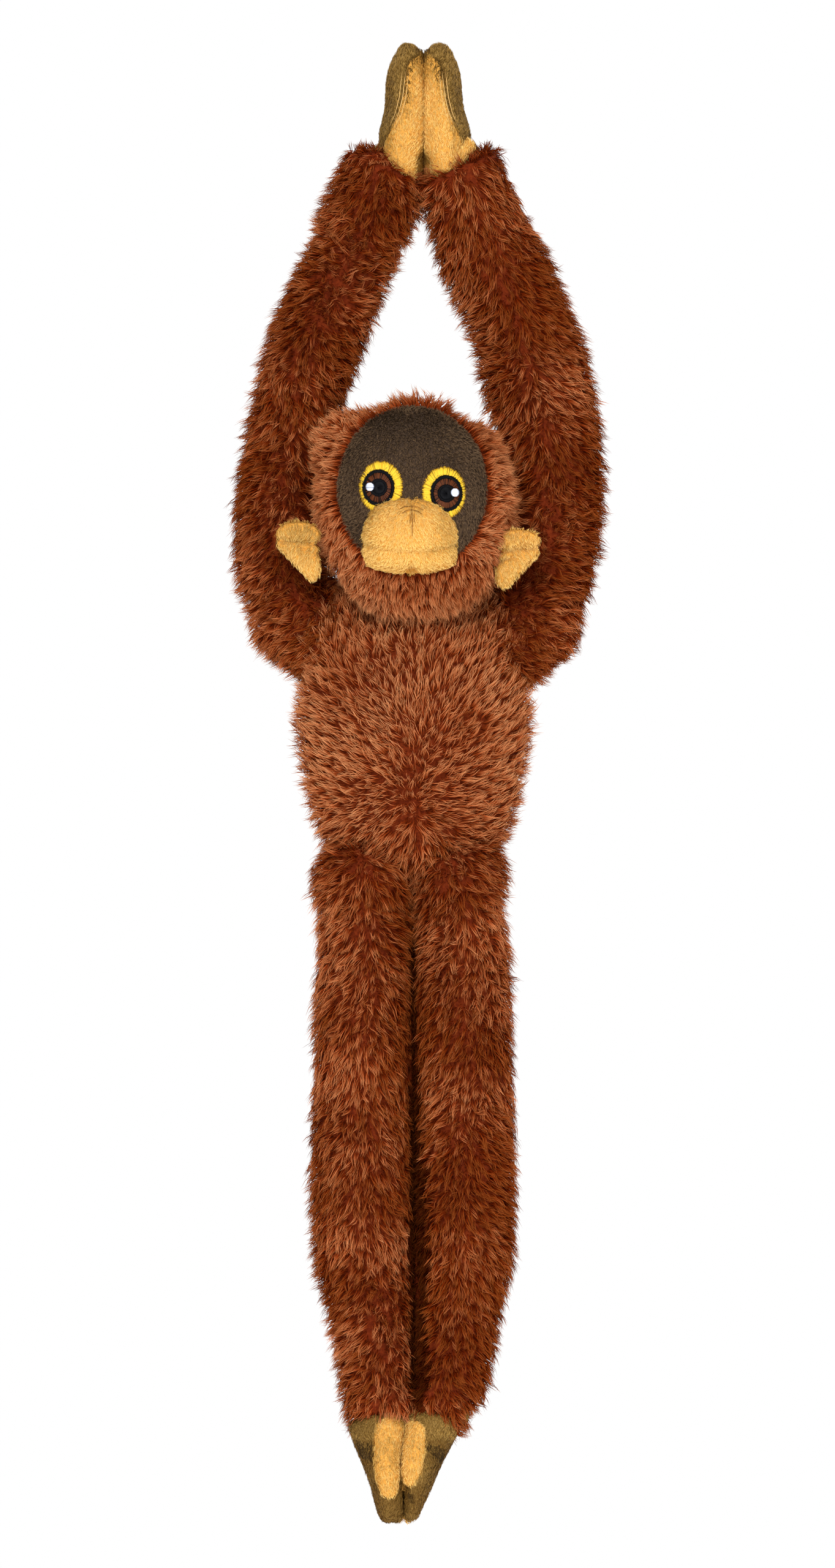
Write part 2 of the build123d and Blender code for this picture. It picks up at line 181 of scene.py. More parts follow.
# Each cloth is its pile's material and its backing's.
RUST = (
    pile_material(
        "rust_pile",
        root=(90, 25, 5),
        body=(142, 59, 23),
        tip=(201, 128, 80),
        shade=(0.48, 0.33, 0.17),
        light=(1.22, 1.55, 1.8),
        roughness=0.8,
        sheen=0.0,
        gloss=0.0,
    ),
    knit_material("rust_backing", (88, 28, 8), (112, 42, 14), 900),
)
GOLD = (
    pile_material(
        "golden_pile", (198, 148, 62), (232, 186, 98), (250, 212, 136), (0.46, 0.38, 0.24), (1.1, 1.12, 1.14)
    ),
    knit_material("golden_backing", (196, 136, 56), (222, 164, 78), 1400),
)
OLIVE = (
    pile_material(
        "olive_pile", (94, 66, 24), (142, 108, 50), (172, 138, 78), (0.5, 0.42, 0.3), (1.2, 1.2, 1.2)
    ),
    knit_material("olive_backing", (92, 66, 28), (126, 96, 46), 1400),
)
DARK = (
    pile_material(
        "dark_pile", (50, 36, 24), (84, 64, 45), (118, 94, 70), (0.66, 0.62, 0.58), (1.25, 1.25, 1.25)
    ),
    knit_material("dark_backing", (50, 38, 29), (72, 57, 45), 1400),
)


def thread_material(name, colour, shade, dull, roughness=0.5):
    """Shiny embroidery thread: each stitch its own tone, with painted shade at its ends where it dives into
    the cloth.
    """
    return pile_material(name, shade, colour, colour, dull, (1.08, 1.08, 1.08), roughness, 0.02)


YELLOW_THREAD = thread_material("yellow_thread", (232, 194, 54), (186, 128, 20), (0.78, 0.68, 0.5))
BROWN_THREAD = thread_material("brown_thread", (90, 46, 22), (30, 14, 8), (0.06, 0.06, 0.07))
BLACK_THREAD = thread_material("black_thread", (6, 6, 10), (2, 2, 4), (0.5, 0.5, 0.5))
WHITE_THREAD = thread_material("white_thread", (222, 226, 238), (130, 136, 156), (0.8, 0.82, 0.86))
SEAM_THREAD = thread_material("seam_thread", (158, 104, 44), (110, 66, 24), (0.7, 0.7, 0.7))
PALE_THREAD = thread_material("pale_thread", (216, 172, 104), (150, 110, 56), (0.8, 0.8, 0.8))
TAPE = (
    pile_material(
        "tape_pile", (150, 104, 40), (196, 142, 66), (222, 172, 92), (0.85, 0.85, 0.85), (1.1, 1.1, 1.1)
    ),
    knit_material("tape_backing", (150, 104, 44), (180, 130, 60), 1800),
)


# ---------------------------------------------------------------- skins


def linked(name, mesh):
    piece = bpy.data.objects.new(name, mesh)
    bpy.context.scene.collection.objects.link(piece)
    return piece


def settled(piece):
    """The piece with its modifiers applied to its mesh."""
    graph = bpy.context.evaluated_depsgraph_get()
    mesh = bpy.data.meshes.new_from_object(piece.evaluated_get(graph), depsgraph=graph)
    piece.modifiers.clear()
    old = piece.data
    piece.data = mesh
    bpy.data.meshes.remove(old)
    return piece


def coordinates(mesh):
    co = np.zeros(len(mesh.vertices) * 3, np.float32)
    mesh.vertices.foreach_get("co", co)
    return co.reshape(-1, 3).astype(float)


def normals_of(mesh):
    n = np.zeros(len(mesh.vertices) * 3, np.float32)
    mesh.vertices.foreach_get("normal", n)
    return n.reshape(-1, 3).astype(float)


def tree_of(mesh):
    """A search tree of the mesh's surface."""
    return BVHTree.FromPolygons(coordinates(mesh).tolist(), [p.vertices for p in mesh.polygons])


def from_front(tree, x, z, proud):
    """The surface's first point behind that x and z in mm, that far proud of it, or None past its edge."""
    place = tree.ray_cast(Vector((x * MM, -0.2, z * MM)), Vector((0, 1, 0)))[0]
    return None if place is None else np.array(place) - np.array([0, proud * MM, 0])


def move(mesh, co):
    mesh.vertices.foreach_set("co", co.astype(np.float32).ravel())
    mesh.update()


def skin(name, nodes, voxel, smooth=6, inset=0.0, balls=()):
    """One closed skin round the CAD solids and the balls, (centre, radius) each, drawn in by inset."""
    joined = bmesh.new()
    for node in nodes:
        joined.from_mesh(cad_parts[node].data)
    for centre, radius in balls:
        place = Matrix.Translation(Vector(centre) * MM)
        bmesh.ops.create_icosphere(joined, subdivisions=4, radius=radius * MM, matrix=place)
    mesh = bpy.data.meshes.new(name)
    joined.to_mesh(mesh)
    joined.free()
    piece = linked(name, mesh)
    remesh = piece.modifiers.new("even", "REMESH")
    remesh.mode = "VOXEL"
    remesh.voxel_size = voxel
    soften = piece.modifiers.new("soften", "SMOOTH")
    soften.factor = 0.5
    soften.iterations = smooth
    settled(piece)
    if inset:
        move(piece.data, coordinates(piece.data) - normals_of(piece.data) * inset * MM)
    return piece


def swell(piece, amount, cap):
    """Cloth filled from inside, as stuffing fills a sewn cover; no point moves further than cap."""
    before = coordinates(piece.data)
    cloth = piece.modifiers.new("fill", "CLOTH")
    cloth.settings.quality = 4
    cloth.settings.mass = 0.2
    cloth.settings.use_pressure = True
    cloth.settings.uniform_pressure_force = amount
    cloth.settings.effector_weights.gravity = 0.0
    scene = bpy.context.scene
    for step in range(1, 16):
        scene.frame_set(step)
    settled(piece)
    scene.frame_set(1)
    moved = coordinates(piece.data) - before
    far = np.linalg.norm(moved, axis=1, keepdims=True)
    move(piece.data, before + moved * np.minimum(1, cap / np.maximum(far, 1e-9)))
    return piece


def lumpy(piece, height, size, seed):
    """Low uneven lumps, as loose stuffing leaves them."""
    co = coordinates(piece.data)
    lift = ripple(co, size, seed) * height
    move(piece.data, co + normals_of(piece.data) * lift[:, None])
    return piece


# ---------------------------------------------------------------- fibres

# A tone below this lies in a crease and gets its painted shade, whatever its lock is like.
DEEP = -1.1

# Each kind of pile, in mm: how far apart its locks are, how many fibres each has, how far they spread at
# the root, their length, how steeply they rise from 0 to 1, how their ends fray, their width, how far a
# lock wanders from the brushed way, its curl, how much the locks' tones differ, and a fibre's sections.
LONG = dict(
    spacing=2.4, count=16, spread=1.8, length=6.8, rise=0.40, fray=0.9, width=0.3, wander=0.3,
    curl=1.1, tones=0.28, sections=3,
)
SHORT = dict(
    spacing=1.1, count=5, spread=0.75, length=2.0, rise=0.5, fray=0.3, width=0.26, wander=0.3,
    curl=0.1, tones=0.1, sections=2,
)


def scatter(mesh, spacing, rng, keep=None):
    """Places and normals on the mesh, about spacing apart. keep(points, normals) says which stay."""
    mesh.calc_loop_triangles()
    corners = np.zeros(len(mesh.loop_triangles) * 3, np.int32)
    mesh.loop_triangles.foreach_get("vertices", corners)
    corners = corners.reshape(-1, 3)
    co, no = coordinates(mesh), normals_of(mesh)
    a, b, c = co[corners[:, 0]], co[corners[:, 1]], co[corners[:, 2]]
    area = np.linalg.norm(np.cross(b - a, c - a), axis=1) / 2
    tries = int(area.sum() / spacing**2 * 4)
    pick = np.searchsorted(np.cumsum(area) / area.sum(), rng.random(tries))
    pick = np.minimum(pick, len(area) - 1)
    u, v = rng.random(tries), rng.random(tries)
    flip = u + v > 1
    u, v = np.where(flip, 1 - u, u), np.where(flip, 1 - v, v)
    share = np.stack([1 - u - v, u, v], 1)[:, :, None]
    points = (co[corners[pick]] * share).sum(1)
    normals = unit((no[corners[pick]] * share).sum(1))
    cells = np.floor(points / (spacing * 0.92)).astype(np.int64)
    key = (cells[:, 0] * 73856093) ^ (cells[:, 1] * 19349663) ^ (cells[:, 2] * 83492791)
    first = np.sort(np.unique(key, return_index=True)[1])
    points, normals = points[first], normals[first]
    if keep is not None:
        stays = keep(points, normals)
        points, normals = points[stays], normals[stays]
    return points, normals


def fibres(mesh, comb, kind, seed, keep=None, tone=None, longer=None):
    """Tapered fibres in pointed locks: (vertices, tone, height), each in rows of one fibre.

    comb(points, normals) gives the way that the pile is brushed, longer(points) each lock's length
    as a factor, and tone(points) how light it is, from -1 to 1, or below DEEP for a crease's painted shade.
    """
    rng = np.random.default_rng(seed)
    roots, up = scatter(mesh, kind["spacing"] * MM, rng, keep)
    count = int(min(kind["count"], MOST_FIBRES // max(len(roots), 1)))
    brushed = comb(roots, up)
    brushed = brushed - up * (brushed * up).sum(1, keepdims=True)
    strength = np.linalg.norm(brushed, axis=1, keepdims=True)
    brushed = brushed / np.maximum(strength, 1e-9) * np.minimum(strength, 1)
    locks = len(roots)
    rise = kind["rise"] * rng.uniform(0.75, 1.3, (locks, 1))
    rise = rise * (1 + 0.45 * ripple(roots, 0.016, seed + 2)[:, None])
    stray = rng.normal(scale=kind["wander"], size=(locks, 3))
    heading = unit(up * rise + brushed * (1 - kind["rise"]) + stray * (1 - kind["rise"]) * 0.7)
    lift = (heading * up).sum(1, keepdims=True)
    heading = unit(heading + up * np.maximum(0.22 - lift, 0))
    size = kind["length"] * MM * rng.uniform(0.72, 1.22, (locks, 1))
    if longer is not None:
        size = size * longer(roots)[:, None]
    patches = 1.7 * ripple(roots, 0.013, seed + 1)
    lock_tone = kind["tones"] * (rng.normal(size=locks) + patches)
    if tone is not None:
        lock_tone = lock_tone + tone(roots)

    lock = np.repeat(np.arange(locks), count)
    total = len(lock)
    n = up[lock]
    across = unit(np.cross(n, heading[lock] + rng.normal(scale=0.01, size=(total, 3))))
    along = np.cross(across, n)
    turn = rng.uniform(0, 2 * math.pi, (total, 1))
    reach = np.sqrt(rng.random((total, 1))) * kind["spread"] * MM
    offset = (np.cos(turn) * across + np.sin(turn) * along) * reach
    start = roots[lock] + offset - n * 0.5 * MM * kind["length"] / 9
    own = size[lock] * rng.uniform(0.72, 1.08, (total, 1))
    fray = kind["fray"] * MM
    end = roots[lock] + heading[lock] * own + offset * 0.3 + rng.normal(scale=fray * 0.5, size=(total, 3))
    bend = start + n * np.linalg.norm(end - start, axis=1, keepdims=True) * 0.38 + (end - start) * 0.2
    curl = rng.normal(scale=kind["curl"] * MM, size=(locks, 1))[lock]
    bend = bend + across * curl + rng.normal(scale=fray * 0.4, size=(total, 3))
    roll = rng.normal(scale=0.55, size=(total, 1))
    facing = n * np.cos(roll) + across * np.sin(roll)

    sections = kind["sections"]
    width = kind["width"] * MM * rng.uniform(0.7, 1.25, (total, 1))
    verts = np.zeros((total, 2 * sections + 1, 3))
    height = np.zeros((total, 2 * sections + 1))
    for row in range(sections):
        t = row / sections
        place = (1 - t) ** 2 * start + 2 * t * (1 - t) * bend + t * t * end
        tangent = (1 - t) * (bend - start) + t * (end - bend)
        half = unit(np.cross(tangent, facing)) * width / 2 * (1 - 0.55 * t * t)
        verts[:, 2 * row] = place - half
        verts[:, 2 * row + 1] = place + half
        height[:, 2 * row : 2 * row + 2] = t
    verts[:, -1] = end
    height[:, -1] = 1
    fibre_tone = lock_tone[lock] + rng.normal(size=total) * kind["tones"] * 0.6
    shade = np.clip(EVEN_LOCK + 0.5 * fibre_tone, DARK_LOCK, 0.99)
    # Painted shade: locks whose tone is below DEEP take the crease's dark colour.
    if tone is not None:
        shade = np.where(tone(roots)[lock] < DEEP, IN_CREASE, shade)
    return verts, shade, height


def clothed(piece, cloth, grown=None):
    """The piece's mesh in that cloth, with the fibres grown on it added."""
    pile, backing = cloth
    base = piece.data
    co = coordinates(base)
    corner_count = len(base.loops)
    corners = np.zeros(corner_count, np.int32)
    base.loops.foreach_get("vertex_index", corners)
    starts = np.zeros(len(base.polygons), np.int32)
    base.polygons.foreach_get("loop_start", starts)
    slots = np.zeros(len(starts), np.int32)
    uvs = np.tile([0.4, 0.03], (corner_count, 1))
    materials = [backing]
    if grown is not None:
        verts, shade, height = grown
        fibre_count, rows = len(verts), verts.shape[1]
        sections = (rows - 1) // 2
        pattern = []
        for s in range(sections - 1):
            pattern += [2 * s, 2 * s + 1, 2 * s + 3, 2 * s + 2]
        pattern = np.array(pattern + [2 * sections - 2, 2 * sections - 1, 2 * sections])
        number = np.arange(fibre_count)[:, None]
        wide = np.repeat(shade[:, None], len(pattern), 1)
        tall = height[:, pattern] * 0.96 + 0.02
        corners = np.append(corners, number * rows + pattern + len(co))
        starts = np.append(starts, number * len(pattern) + 4 * np.arange(sections) + corner_count)
        slots = np.append(slots, np.ones(fibre_count * sections, np.int32))
        uvs = np.append(uvs, np.stack([wide, tall], 2))
        co = np.append(co, verts)
        materials.append(pile)
    mesh = bpy.data.meshes.new(piece.name)
    mesh.vertices.add(co.size // 3)
    mesh.vertices.foreach_set("co", co.astype(np.float32).ravel())
    mesh.loops.add(len(corners))
    mesh.loops.foreach_set("vertex_index", corners.astype(np.int32))
    mesh.polygons.add(len(starts))
    mesh.polygons.foreach_set("loop_start", starts.astype(np.int32))
    for material in materials:
        mesh.materials.append(material)
    mesh.polygons.foreach_set("material_index", slots)
    mesh.polygons.foreach_set("use_smooth", np.ones(len(starts), bool))
    layer = mesh.uv_layers.new(name=FIBRE_MAP)
    layer.uv.foreach_set("vector", uvs.astype(np.float32).ravel())
    mesh.validate()
    mesh.update()
    piece.data = mesh
    bpy.data.meshes.remove(base)
    return piece


def finish_piece(piece, body, nodes):
    """Declares a padded piece. body is None for one that spans a joint and is left unattached."""
    if body is not None:
        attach(piece, body)
    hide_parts(*nodes)
    return piece


# ---------------------------------------------------------------- long fur: limbs, torso, hood


def pushed(piece, pushes):
    """The skin pushed sideways. Each push is (height, its reach, move on the outer side, on the inner)."""
    co = coordinates(piece.data)
    middle = co[:, 0].mean()
    for height, reach, outer, inner in pushes:
        near = np.exp(-(((co[:, 2] / MM - height) / reach) ** 2))
        outside = np.abs(co[:, 0]) > abs(middle)
        share = np.clip(np.abs(normals_of(piece.data)[:, 0]), 0, 1)
        amount = np.where(outside, outer, inner) * share * near * MM
        co[:, 0] += amount * np.sign(middle)
    move(piece.data, co)


# Where the legs meet, in x in mm.
LEG_GAP = -0.9


def pressed(piece):
    """The legs pressed together behind the slit that shows between them in front."""
    co = coordinates(piece.data)
    apart = co[:, 0] / MM - LEG_GAP
    near = np.clip((8 - np.abs(apart)) / 4, 0, 1) * ramp(co[:, 1], -0.009, -0.004)
    near = near * ramp(-co[:, 2], 0.245, 0.262) * ramp(co[:, 2], -0.456, -0.446)
    co[:, 0] -= apart * 1.08 * near * MM
    move(piece.data, co)


def by_gap(points):
    """How near each point is to the plane between the legs, from 0 to 1."""
    between = ramp(-points[:, 2], 0.258, 0.275) * ramp(points[:, 2], -0.450, -0.440)
    return np.exp(-(((points[:, 0] / MM - LEG_GAP) / 5.5) ** 2)) * between


def short_at_hem(points):
    """Shorter locks at the wrist's end of the sleeve."""
    return 1 - 0.3 * ramp(points[:, 2], 0.014, 0.024)


def short_by_gap(points):
    return 1 - 0.5 * by_gap(points)


def arm_painted_shade(points):
    """Painted shade over the whole arm, deepest on the upper arm, where the pile points out at the viewer."""
    return -0.68 + 0.14 * ramp(points[:, 2], -0.09, -0.02)


def leg_painted_shade(side):
    """Painted shade over the leg, deepest between the legs, and darker down the left shin."""

    def tone(points):
        down = ramp(-points[:, 2], 0.3, 0.38)
        return -0.38 - 0.9 * by_gap(points) - (0.6 if side > 0 else 0.1) * down

    return tone


def even_tone(amount):
    """The same tone all over."""

    def tone(points):
        return np.full(len(points), amount)

    return tone


def comb_limb(side, droop):
    """Brushed off the middle of the limb to both its sides, and drooping."""

    def field(points, normals):
        way = np.zeros_like(points)
        way[:, 0] = (normals[:, 0] * 0.9 + 0.2 * side) * (1 - by_gap(points)) + 0.15 * side * by_gap(points)
        way[:, 2] = -droop
        way += 0.35 * drift(points, 0.02, 31)
        return way

    return field


def limb(word, kind, upper, lower, top, balls, inset, pushes, comb, tone, longer, seed):
    """A fur sleeve over both halves of a limb, and its pad at the top joint.
    """
    nodes = [f"{half}_{layer}_{word}" for half in (upper, lower) for layer in ("sleeve", "stuffing")]
    piece = skin(f"{word}_{kind}_fur", nodes, 2.4 * MM, 6, inset, balls)
    piece = lumpy(swell(piece, 2.0, 1.6 * MM), 0.7 * MM, 0.022, seed)
    pushed(piece, pushes)
    if kind == "leg":
        pressed(piece)
    fur = fibres(piece.data, comb, LONG, seed, None, tone, longer)
    clothed(piece, RUST, fur)
    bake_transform(piece)
    finish_piece(piece, None, nodes)
    pad = skin(f"{word}_{kind}_fur_pad", [f"{top}_stuffing_{word}"], 2.0 * MM, 4, 2.0)
    clothed(pad, RUST)
    finish_piece(pad, f"{word}_{top}", [f"{top}_stuffing_{word}"])


# Where the sleeve's hem wraps the heel of each hand: (centre, radius) in mm.
WRIST = {
    -1: [((-16.5, 2, 20), 8), ((-14.5, -7, 18.5), 9.5), ((-14.5, 7, 18.5), 9.5)],
    1: [((25.5, 2, 20), 8.3), ((22, -7, 14.5), 9), ((22, 7, 14.5), 9), ((27, 2, 11), 9.5)],
}
ARM_PUSHES = {
    -1: [(8, 24, -8.5, -1.8), (16, 10, -2.5, 0), (-50, 28, 1.5, 0.5), (-68, 14, 0, 2.5), (-125, 25, 1.6, 0)],
    1: [(16, 10, 2, -2.5), (2, 10, -2, -0.5), (-14, 14, 0, -4), (-65, 38, 3, 0), (-40, 18, 2.4, 0)],
}
LEG_PUSHES = {
    -1: [(-300, 45, 0, -0.6), (-350, 45, 1.6, 0), (-380, 55, 0, -0.6), (-430, 25, -1.8, 0)],
    1: [(-254, 14, -4, 0), (-300, 45, 0, -0.6), (-355, 45, 2.3, 0), (-380, 55, 0, -0.6), (-455, 9, -6, 0)],
}


def leg_balls(side, knee):
    """Fillings of the leg's sleeve, (centre, radius) in mm: at the hip, the knee and round the ankle."""
    return [
        ((19 * side - 1, -6, -251), 18.5),
        (knee / MM, 17),
        ((13.2 * side - 1.8, -6, -448), 12.2),
        ((12.6 * side - 1.8, -8.5, -446), 12.5),
        ((6.5 * side - 0.9, -10, -448), 9),
    ]


for word, side in SIDES.items():
    elbow = Vector((47.5 * side + 1.3, 9, -79)) * MM
    limb(
        word,
        "arm",
        upper="upper_arm",
        lower="forearm",
        top="shoulder",
        balls=[((43.3 * side, 2, -150.5), 18), ((35 * side, 1, -159), 17), (elbow / MM, 17), *WRIST[side]],
        inset=2.1 if side < 0 else 1.3,
        pushes=ARM_PUSHES[side],
        comb=comb_limb(side, 0.45),
        tone=arm_painted_shade,
        longer=short_at_hem,
        seed=100 if side < 0 else 200,
    )
    knee = Vector((19 * side - 1, -6, -350)) * MM
    limb(
        word,
        "leg",
        upper="thigh",
        lower="shin",
        top="hip",
        balls=leg_balls(side, knee),
        inset=1.6,
        pushes=LEG_PUSHES[side],
        comb=comb_limb(side, 0.85),
        tone=leg_painted_shade(side),
        longer=short_by_gap,
        seed=300 if side < 0 else 400,
    )


def comb_torso(points, normals):
    """Brushed outward from low on the belly, and behind, down."""
    way = np.zeros_like(points)
    front = ramp(-points[:, 1], -0.004, 0.008)
    way[:, 0] = points[:, 0] / 0.022
    way[:, 2] = (points[:, 2] + 0.226) / 0.032 * front - 0.8 * (1 - front)
    way = unit(way)
    return way + 0.4 * drift(points, 0.02, 41)


TORSO = ["torso_front_panel", "torso_back_panel", "torso_stuffing"]


def torso_tone_and_painted_shade(points):
    """Lightest on the belly, with painted shade at the chest and between the legs."""
    high = ramp(points[:, 2], -0.19, -0.165)
    low = ramp(-points[:, 2], 0.228, 0.245)
    return 0.4 - 0.3 * high - 0.4 * low


# Fillings of the torso's cover in mm: across the shoulders, and one between the legs.
TORSO_BALLS = [
    ((-30, 0, -160), 16),
    ((30, 0, -160), 16),
    ((0, -2, -160), 20),
    ((-24, 3, -150), 13),
    ((24, 3, -150), 13),
    ((-1, 0, -249), 11),
]
torso = skin("torso_fur", TORSO, 2.6 * MM, 8, 1.7, TORSO_BALLS)
torso = lumpy(swell(torso, 2.0, 2.0 * MM), 0.9 * MM, 0.03, 500)
co = coordinates(torso.data)
bulge = np.clip(-co[:, 0] / 0.03, 0, 1) * np.exp(-(((co[:, 2] + 0.198) / 0.022) ** 2))
co[:, 0] -= bulge * 2.2 * MM
move(torso.data, co)
clothed(torso, RUST, fibres(torso.data, comb_torso, LONG, 500, None, torso_tone_and_painted_shade))
finish_piece(torso, "torso", TORSO)

NECK_BALLS = [((0, 1, -146), 19), ((-12, 2, -145), 14), ((12, 2, -145), 14)]
neck = skin("neck_fur", ["neck_stuffing"], 2.0 * MM, 6, 0, NECK_BALLS)
clothed(neck, RUST, fibres(neck.data, comb_torso, {**LONG, "length": 5.0}, 550))
finish_piece(neck, "neck", ["neck_stuffing"])

FACE_LOW, FACE_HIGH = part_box("face_panel")
FACE_MIDDLE, FACE_HALF = (FACE_LOW + FACE_HIGH) / 2, (FACE_HIGH - FACE_LOW) / 2


def off_face(points, normals):
    """True outside the face's egg, or behind it."""
    x = (points[:, 0] - FACE_MIDDLE.x) / FACE_HALF.x
    z = (points[:, 2] - FACE_MIDDLE.z) / FACE_HALF.z
    return (x * x + z * z > 0.98) | (points[:, 1] > -0.018)


def comb_hood(points, normals):
    """Away from the face and down."""
    way = np.zeros_like(points)
    way[:, 0] = (points[:, 0] - FACE_MIDDLE.x) / 0.035
    way[:, 2] = (points[:, 2] - FACE_MIDDLE.z) / 0.045 - 0.25
    way[:, 1] = 0.35
    return way + 0.35 * drift(points, 0.015, 51)


def crown_tuft(points):
    """Longer locks in a small tuft on the crown."""
    apart = np.linalg.norm(points - np.array([2.6, -20, -72]) * MM, axis=1)
    return 1 + 0.45 * np.exp(-((apart / 0.009) ** 2))


HOOD = ["hood_right", "hood_left", "head_stuffing"]
HOOD_CORNERS = [((-21.5, -10, -88.5), 15.5), ((15.5, -10, -91), 15.5), ((-1, -11, -88), 17)]
hood = lumpy(skin("hood_fur", HOOD, 2.0 * MM, 6, 0.9, HOOD_CORNERS), 0.5 * MM, 0.02, 600)
co = coordinates(hood.data)
drop = 3.2 * np.exp(-(((co[:, 0] / MM - 17) / 8) ** 2)) + 0.6 * np.exp(-(((co[:, 0] / MM + 20) / 7) ** 2))
co[:, 2] -= drop * ramp(co[:, 2], -0.092, -0.080) * MM
move(hood.data, co)
HOOD_PILE = {**LONG, "length": 6.0, "spacing": 2.3}
fur = fibres(hood.data, comb_hood, HOOD_PILE, 600, off_face, even_tone(0.34), crown_tuft)
clothed(hood, RUST, fur)
finish_piece(hood, "head", HOOD)


# ---------------------------------------------------------------- short pile: face, muzzle, ears


def comb_down(points, normals):
    """Down, with a little drift."""
    way = np.zeros_like(points)
    way[:, 2] = -1
    return way + 0.5 * drift(points, 0.008, 61)


face = skin("face_pile", ["face_panel"], 0.9 * MM, 3)
FACE_NAP = {**SHORT, "length": 1.5, "spacing": 0.95, "width": 0.24, "rise": 0.4}


def front_only(points, normals):
    return normals[:, 1] < 0.2


clothed(face, DARK, fibres(face.data, comb_down, FACE_NAP, 700, front_only))
finish_piece(face, "head", ["face_panel"])


def dent(co, normals, apart, width, depth):
    """The points drawn in, most where apart is 0."""
    return co - normals * (np.exp(-((apart / width) ** 2)) * depth * MM)[:, None]


MUZZLE = ["muzzle", "muzzle_stuffing"]
MUZZLE_X, MUZZLE_Z = -1.8, -120.0
muzzle = skin("muzzle_pile", MUZZLE, 0.7 * MM, 4)
co = coordinates(muzzle.data)
x, z = co[:, 0] / MM - MUZZLE_X, co[:, 2] / MM - MUZZLE_Z
low = ramp(-z, 0, 12)
co[:, 0] += np.sign(x) * (low * 1.8 - ramp(-z, 10, 15) * 2.6) * ramp(np.abs(x), 3, 14) * MM
co[:, 2] += (low * ramp(np.abs(x), 6, 16) * -0.8 + ramp(z, 0, 12) * 2.8) * MM
co[:, 1] += ramp(z, 4, 16) * 2.0 * MM
move(muzzle.data, co)
co, facing = coordinates(muzzle.data), normals_of(muzzle.data)
x, z = co[:, 0] / MM - MUZZLE_X, co[:, 2] / MM - MUZZLE_Z
ahead = facing[:, 1] < 0.1
lip = z + 7.4 - 0.012 * x * x
co = dent(co, facing, np.where(ahead, lip, 99), 1.7, 1.3)
co = co + facing * (np.where(ahead, np.exp(-(((z + 11) / 3.0) ** 2)), 0) * 0.9 * MM)[:, None]
co[:, 0] += np.sign(x) * ramp(z, 6, 14) * ramp(np.abs(x), 2, 9) * 1.8 * MM
seam = np.where(ahead & (z > -2), x - 0.25, 99)
co = dent(co, facing, seam, 0.8, 0.5 * ramp(z, -3, 2))
for nostril in (-2.4, 2.6):
    co = dent(co, facing, np.where(ahead, np.hypot(x - nostril, z - 9.2), 99), 0.9, 0.6)
cleft = np.hypot(x, (z + 15.5) * 0.5)
co = dent(co, facing, cleft, 2.2, 3.0)
move(muzzle.data, co)
MUZZLE_FRONT = tree_of(muzzle.data)
MUZZLE_NAP = {
    **SHORT, "spacing": 0.95, "spread": 1.05, "length": 1.3, "rise": 0.2, "fray": 0.25,
    "width": 0.2, "wander": 0.12, "curl": 0.0, "tones": 0.14,
}


def comb_muzzle(points, normals):
    """Down from the bridge, and sideways off the middle."""
    way = np.zeros_like(points)
    way[:, 0] = (points[:, 0] / MM - MUZZLE_X) / 12
    way[:, 2] = -0.8
    return unit(way) + 0.3 * drift(points, 0.006, 64)


def muzzle_streaks_and_painted_shade(points):
    """Soft streaks, painted shade in the lip's fold and the bottom cleft, and deeper down the middle."""
    x, z = points[:, 0] / MM - MUZZLE_X, points[:, 2] / MM - MUZZLE_Z
    fold = np.exp(-(((z + 7.2 - 0.012 * x * x) / 0.8) ** 2))
    cleft = np.exp(-(x**2 + ((z + 15) * 0.5) ** 2) / 3.0)
    middle = np.exp(-((x / 0.5) ** 2)) * ramp(z, -3, 0)
    streak = 0.12 * ripple(points * np.array([1, 1, 0.3]), 0.003, 67)
    return streak - 0.24 - 0.14 * fold - 0.8 * cleft - 0.25 * middle + 0.2 * ramp(-z, 8, 10)


nap = fibres(muzzle.data, comb_muzzle, MUZZLE_NAP, 720, front_only, muzzle_streaks_and_painted_shade)
clothed(muzzle, GOLD, nap)
finish_piece(muzzle, "head", MUZZLE)

# A right ear's outline, in mm from its middle: broad and flat above, down to a tip near the head.
EAR_EDGE = [
    (-7.5, 8.2), (-3, 10.6), (4.5, 10.4), (8.2, 7.0), (7.6, 2.5), (8.4, -3.5),
    (8.0, -9.0), (5.2, -11.2), (1.4, -7.5), (-3.5, -2.0), (-8.0, 3.0),
]
EAR_AT = {"right": (-44.6, -29.0, -125.8), "left": (38.6, -29.0, -128.6)}
EAR_THICK = 3.4


def smooth_loop(points, count):
    """A closed curve through the points, with count places along it."""
    p = np.array(points, float)
    n = len(p)
    t = np.arange(count) / count * n
    k = t.astype(int)
    f = (t - k)[:, None]
    a, b, c, d = p[(k - 1) % n], p[k % n], p[(k + 1) % n], p[(k + 2) % n]
    return 0.5 * (2 * b + (c - a) * f + (2 * a - 5 * b + 4 * c - d) * f**2 + (3 * b - a - 3 * c + d) * f**3)


